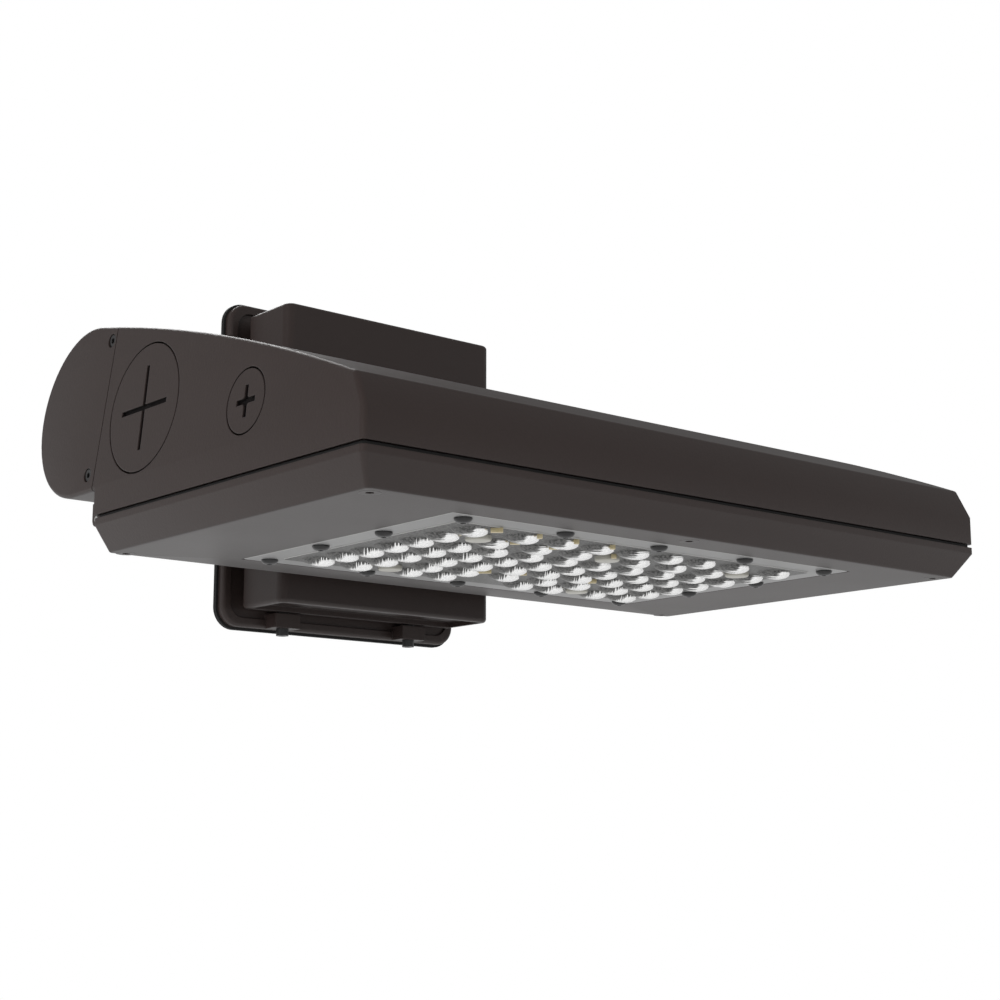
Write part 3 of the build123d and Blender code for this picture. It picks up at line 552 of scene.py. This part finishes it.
def island_centres(node):
    """The middle of every separate solid of a node, from its loose triangles."""
    solid = bmesh.new()
    solid.from_mesh(nodes[node].data)
    bmesh.ops.remove_doubles(solid, verts=solid.verts, dist=weld_reach)
    left, centres = set(solid.verts), []
    while left:
        group, edge = set(), [left.pop()]
        while edge:
            vert = edge.pop()
            group.add(vert)
            fresh = {e.other_vert(vert) for e in vert.link_edges} & left
            left -= fresh
            edge.extend(fresh)
        spots = [v.co.copy() for v in group]
        lows = Vector(min(p[i] for p in spots) for i in range(3))
        highs = Vector(max(p[i] for p in spots) for i in range(3))
        centres.append((lows + highs) / 2)
    solid.free()
    return sorted(centres, key=lambda c: (round(c.y, 4), c.x))


chips = island_centres("leds")
print(len(chips), "chips, sheet", tuple(round(x, 4) for x in low), "domes", round(dome_deep, 4))

# %% [markdown]
# ## The lens sheet
# The sheet is a slab with a low step in its middle, the field that carries the lenses. Two
# cubes, stretched and bevelled, make it. A bevel modifier could round them, but the operator
# hands back the new faces, and those get a finish of their own: the rim of a clear sheet
# gathers light, so that finish is paler than the flat border, as painted light.

# %% Slab and field
lens_slot, edge_slot = 1, 2  # and the border is 0
border = 0.0160
step = 0.0005
hair = 0.0001


def round_off(mesh, edges, by, segments):
    """Rounds edges by a radius and gives back the new faces."""
    return bmesh.ops.bevel(
        mesh, geom=edges, offset=by, segments=segments, profile=0.5, affect="EDGES", material=-1
    )["faces"]


def sized_cube(mesh, size, at):
    """A box of one size, its middle at a place."""
    box = bmesh.ops.create_cube(mesh, size=1.0)["verts"]
    matrix = Matrix.Translation(at) @ Matrix.Diagonal((*size, 1))
    bmesh.ops.transform(mesh, matrix=matrix, verts=box)
    return box


optics = bmesh.new()
local = optics.loops.layers.uv.new("local")
sheet_x, sheet_y = high.x - low.x, high.y - low.y
slab_at = (sheet_mid.x, sheet_mid.y, flange_z + sheet_thick / 2)
sized_cube(optics, (sheet_x, sheet_y, sheet_thick), slab_at)
corners = [e for e in optics.edges if abs(e.verts[0].co.z - e.verts[1].co.z) > hair]
round_off(optics, corners, by=0.002, segments=4)
rims = [e for e in optics.edges if all(v.co.z < flange_z + hair for v in e.verts)]
for face in round_off(optics, rims, by=0.0006, segments=2):
    face.material_index = edge_slot
slab_faces = set(optics.faces)
field_size = (sheet_x - 2 * border, sheet_y - 2 * border, 2 * step)
field = sized_cube(optics, field_size, (sheet_mid.x, sheet_mid.y, flange_z))
longest_corner = 4 * step
field_edges = {e for v in field for e in v.link_edges}
corners = [e for e in field_edges if e.calc_length() < longest_corner]
round_off(optics, corners, by=0.003, segments=4)
field_edges = {e for f in set(optics.faces) - slab_faces for e in f.edges}
lip = [e for e in field_edges if all(v.co.z < flange_z - 0.9 * step for v in e.verts)]
round_off(optics, lip, by=0.0003, segments=2)
for face in set(optics.faces) - slab_faces:
    face.material_index = lens_slot if face.normal.z < -0.99 else edge_slot
print("sheet", round(sheet_x, 4), "by", round(sheet_y, 4), "m,", len(optics.faces), "faces")

# %% [markdown]
# ## The domes
# Every lens is half an egg, cut at the sheet and sheared over. A spun profile would give a
# round dome but no lean, while a sphere takes the cut, the stretch and the shear in three
# steps. Each corner also keeps its distance from the middle of its lens, as a UV, because the
# finish needs to know where on a lens it is.

# %% Domes under the field
dome_wide = 0.0104
dome_lean = 0.35
dome_half = (dome_wide / 1.06, dome_wide * 0.92, dome_deep - step)  # the lean widens X again
sunk_in = 0.0002  # each dome starts inside the field
off_lens = (-3.0, -3.0)  # the UV of what isn't on a lens


def add_dome(mesh, at):
    """Half an egg under the sheet, leaning to +X, closed at the sheet."""
    made = bmesh.ops.create_uvsphere(mesh, u_segments=20, v_segments=10, radius=1.0)["verts"]
    parts = made + list({e for v in made for e in v.link_edges})
    parts += list({f for v in made for f in v.link_faces})
    cut = bmesh.ops.bisect_plane(
        mesh, geom=parts, plane_co=(0, 0, 0), plane_no=(0, 0, 1), clear_outer=True
    )
    kept = [g for g in cut["geom"] if isinstance(g, bmesh.types.BMVert) and g.is_valid]
    rim = [g for g in cut["geom_cut"] if isinstance(g, bmesh.types.BMEdge)]
    bmesh.ops.contextual_create(mesh, geom=rim)
    lean = Matrix.Identity(4)
    lean[0][2] = -dome_lean
    size = Matrix.Diagonal((*dome_half, 1))
    bmesh.ops.transform(mesh, matrix=Matrix.Translation(at) @ size @ lean, verts=kept)
    return {f for v in kept for f in v.link_faces}


for face in optics.faces:
    for loop in face.loops:
        loop[local].uv = off_lens
for chip in chips:
    at = Vector((chip.x, chip.y, flange_z - step + sunk_in))
    for face in add_dome(optics, at):
        face.material_index = lens_slot
        for loop in face.loops:
            off = (loop.vert.co - at) / dome_wide
            loop[local].uv = (off.x, off.y)
for face in optics.faces:
    face.smooth = True
optics_mesh = bpy.data.meshes.new("optics")
optics.to_mesh(optics_mesh)
optics.free()
lens_sheet = bpy.data.objects.new("lens_sheet", optics_mesh)
bpy.context.scene.collection.objects.link(lens_sheet)
split = lens_sheet.modifiers.new("split", "EDGE_SPLIT")
split.split_angle = radians(50)
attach(lens_sheet, body_of["optic_plate"])
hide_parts("optic_plate")
print("lens sheet", len(optics_mesh.polygons), "faces")

# %% [markdown]
# ## What a lens shows
# Seen from below the front, a lens is dark plastic with a bright patch on its right, and a
# thin streak of light along its crest towards the left. Real glass over the board would show
# it too, but only with many bounces of light and much noise. This finish paints them instead:
# the patch and the streak are a painted reflection, a mirror-bright patch at a fixed place on
# each lens, and the dark of the plastic is painted shade of the space behind. The patch is worked
# out from two lengths: how far a point lies to the right of its lens, which the UV keeps, and how
# far it hangs below the sheet.

# %% Where a point lies on its lens
row_pitch = 0.0221
column_pitch = 0.0262
picture_x, picture_y = 0.765, -0.643  # the picture's right, seen from above
glass = Finish("lens_plastic", Specular_IOR_Level=0.22)
across, along = glass.parts(glass.node("ShaderNodeUVMap", {"uv_map": "local"}), 0, 1)
column, row, height = glass.parts(glass.place(), 0, 1, 2)
drop = (flange_z - height) / dome_deep
right = picture_x * across + picture_y * along
lens_row = ((row - chips[0].y) / row_pitch + 0.5).whole()
lens_column = (column - chips[0].x) / column_pitch
unlean = 0.27  # takes out the lean, as the picture sees it
upright = right * 1.05 - unlean * drop
crest = (1.02 - upright * upright).most(0.03) ** 0.5  # outline of a dome, upright again
depth_share = drop / crest
print("from the first chip", tuple(round(x, 4) for x in chips[0]))

# %% [markdown]
# The front rows show the painted reflection as one smooth head with a streaked tail. Further to
# the rear and the left the painted mirror is ribbed and its edge turns to spikes. Both edges are
# soft steps with a noise along one number, and the lens's row and column shift that noise, so no
# two lenses are alike.

# %% The bright patch, a painted reflection
comb = glass.strip_noise(right * 10.0 + lens_row * 3.7 + lens_column * 1.9, 4.0)
streak = glass.strip_noise(depth_share * 9.0 + lens_row * 5.1 + lens_column * 2.3, 2.0)
edge = 0.03  # how thin the patch is at the far left of a lens
head = edge + 0.16 * upright.over(-0.75, -0.10) + 0.50 * upright.over(-0.15, 0.35)
head = head + 0.8 * (streak - 0.5) * upright.over(-0.80, -0.30)
spikes = (comb - 0.48).most(0.0) * 2.2 * upright.over(-0.65, -0.10)
jagged = edge + 0.12 * upright.over(-0.75, -0.30) + 0.38 * upright.over(-0.30, 0.25) + spikes
rear = (lens_row - 0.35 * lens_column).over(0.4, 2.6)
patch = head + rear * (jagged - head)
# painted reflection: a mirror-bright patch at a fixed place on each lens, standing in for light
# reflected inside the clear plastic
painted_reflection = (depth_share + patch).over(0.90, 1.10) * drop.over(0.08, 0.18)
painted_reflection = painted_reflection * (1 - upright.over(0.86, 0.98))
painted_reflection = painted_reflection * (1 - depth_share.over(0.90, 1.00) * (1 - upright.over(-0.25, 0.20)))
print("patch on", len(chips), "lenses")

# %% Lens, border and edge plastic
mottle = glass.grain(700.0, 3.0).over(0.30, 0.70)
# painted shade: the dark lens body stands in for the shaded space seen through the clear plastic
painted_shade_colour = glass.mix(mottle, (0.040, 0.040, 0.040), (0.170, 0.170, 0.166))
# colour of the painted reflection
painted_reflection_colour = glass.mix(mottle, (0.82, 0.82, 0.82), (0.95, 0.95, 0.94))
glass.set(**{
    "Base Color": glass.mix(painted_reflection, painted_shade_colour, painted_reflection_colour),
    "Metallic": painted_reflection * 0.85,
    "Roughness": 0.42 - 0.24 * painted_reflection + 0.10 * mottle,
    "Normal": glass.bump(glass.grain(260.0, 2.0), 0.00008),
})
frame_plastic = Finish("lens_border", Specular_IOR_Level=0.65)
haze = frame_plastic.grain(40.0, 3.0)
frame_plastic.set(**{
    "Base Color": frame_plastic.mix(haze, (0.20, 0.20, 0.20), (0.26, 0.26, 0.26)),
    "Roughness": 0.40 + 0.08 * haze,
    "Normal": frame_plastic.bump(frame_plastic.grain(500.0), 0.00004),
})
# paler than the border: painted light for the light that the rim of the clear sheet gathers
edge_plastic_painted_light = moulded("lens_edge", (0.44, 0.44, 0.43), 0.32)
for material in (frame_plastic.material, glass.material, edge_plastic_painted_light):
    optics_mesh.materials.append(material)
print(len(optics_mesh.materials), "plastics on the sheet")

# %% [markdown]
# ## Bosses and board parts
# Five pale oval bosses over the board's screws and a few tan parts of the board show between
# the lenses. On the real object they lie behind the clear sheet. Here the sheet isn't seen
# through, so they are small rounded pads and blocks that hang from it.

# %% Bosses
def new_piece(name, mesh, node, material):
    """Turns a bmesh into a piece that rides with a node's body."""
    data = bpy.data.meshes.new(name)
    for face in mesh.faces:
        face.smooth = True
    mesh.to_mesh(data)
    mesh.free()
    data.materials.append(material)
    piece = bpy.data.objects.new(name, data)
    bpy.context.scene.collection.objects.link(piece)
    piece.modifiers.new("split", "EDGE_SPLIT").split_angle = facet_split
    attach(piece, body_of[node])
    return piece


def newest(mesh, reach):
    """The corners near the origin, where each shape is made before it moves to its place."""
    return [v for v in mesh.verts if v.co.length < reach]


boss_down = 0.0034
boss_wide = 0.0070
bosses = bmesh.new()
for at in island_centres("board_screws"):
    disc = bmesh.ops.create_cone(
        bosses, cap_ends=True, segments=28, radius1=boss_wide, radius2=boss_wide, depth=boss_down
    )["verts"]
    rim = {e for v in disc for e in v.link_edges if all(w.co.z < 0 for w in e.verts)}
    round_off(bosses, list(rim), by=0.0009, segments=3)
    boss_at = (at.x, at.y, flange_z - boss_down / 2 + sunk_in)
    bmesh.ops.translate(bosses, verts=newest(bosses, reach=0.02), vec=boss_at)
pale_plastic = moulded("boss_plastic", (0.44, 0.43, 0.38), 0.35)
new_piece("screw_bosses", bosses, "optic_plate", pale_plastic)
print("bosses", 2 * boss_wide, "m wide")

# %% Tan board parts
tan_spots = [
    (-0.1067, -0.2950, 0.0065), (-0.0757, -0.2730, 0.0055), (-0.0486, -0.2744, 0.0065),
    (-0.0222, -0.1834, 0.0075), (0.0000, -0.1917, 0.0045), (0.0534, -0.1939, 0.0055),
    (-0.1146, -0.2771, 0.0040), (-0.0776, -0.2950, 0.0030), (-0.0516, -0.2950, 0.0030),
    (-0.0248, -0.2945, 0.0030), (-0.0029, -0.2725, 0.0030),
]  # place and width of each
block_deep = 0.0028
block_tall = 0.0026
block_z = flange_z - step - block_tall / 2 + 0.0003
blocks = bmesh.new()
for x, y, wide in tan_spots:
    block = sized_cube(blocks, (wide, block_deep, block_tall), (0, 0, 0))
    edges = {e for v in block for e in v.link_edges}
    round_off(blocks, list(edges), by=0.0004, segments=2)
    turned = Matrix.Translation((x, y, block_z)) @ Matrix.Rotation(-turn, 4, "Z")
    bmesh.ops.transform(blocks, matrix=turned, verts=newest(blocks, reach=0.01))
tan = Finish("tan_board_part", Roughness=0.4)
tan.set(**{
    "Base Color": tan.mix(tan.grain(300.0, 3.0), (0.42, 0.34, 0.17), (0.70, 0.62, 0.40)),
    "Normal": tan.bump(tan.grain(900.0), 0.00004),
})
new_piece("board_parts", blocks, "optic_plate", tan.material)
print(len(tan_spots), "board parts")

# %% [markdown]
# ## Lens screws
# Fourteen button head screws hold the lens sheet. A button head is a low dome with a hexagon
# socket. A cylinder with a cut could stand in for it, but the dome catches the light. Its
# profile is spun round the axis instead, and the inner ring is drawn in to a hexagon.

# %% Button heads
def head_profile(wide, tall, socket):
    """Radius and height of a screw from its axis, over shank and dome, into the socket."""
    steps = 7
    rim_up = 0.0005
    shank, shank_top = 0.0025, 0.0095
    rise = asin(0.88)  # the dome stops short of its pole
    profile = [(0.0, shank_top), (shank, shank_top), (shank, 0.0), (wide, 0.0), (wide, -rim_up)]
    for i in range(1, steps + 1):
        a = rise * i / steps
        profile.append((wide * cos(a), -rim_up - (tall - rim_up) * sin(a) / sin(rise)))
    return profile + [(socket, -tall), (socket * 0.98, -0.35 * tall), (0.0, -0.30 * tall)]


def button_head(mesh, at, wide, tall, key):
    """A domed head with a hexagon socket, hanging down from its seat."""
    reach = 0.012
    socket = key * 0.56
    verts = [mesh.verts.new((r, 0, z)) for r, z in head_profile(wide, tall, socket)]
    edges = [mesh.edges.new(pair) for pair in zip(verts, verts[1:])]
    bmesh.ops.spin(
        mesh, geom=verts + edges, cent=(0, 0, 0), axis=(0, 0, 1), angle=2 * pi, steps=24,
        use_merge=True, use_duplicate=False, dvec=(0, 0, 0),
    )
    bmesh.ops.remove_doubles(mesh, verts=newest(mesh, reach), dist=weld_reach)
    fresh = newest(mesh, reach)
    for vert in fresh:
        flat = vert.co.xy.length
        if 0.0001 < flat < socket * 1.01 and vert.co.z < -0.0001:
            angle = (Vector((1, 0)).angle_signed(vert.co.xy) + 4 * pi) % (pi / 3) - pi / 6
            vert.co.xy *= (key / 2) / cos(angle) / flat
    bmesh.ops.translate(mesh, verts=fresh, vec=at)


heads = bmesh.new()
seats = island_centres("lens_screws")
for seat in seats:
    button_head(heads, (seat.x, seat.y, flange_z), wide=0.00475, tall=0.00275, key=0.003)
bmesh.ops.recalc_face_normals(heads, faces=heads.faces)
screw_heads = new_piece("lens_screw_heads", heads, "lens_screws", finish["black_screw"])
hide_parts("lens_screws")
print(len(seats), "lens screws")
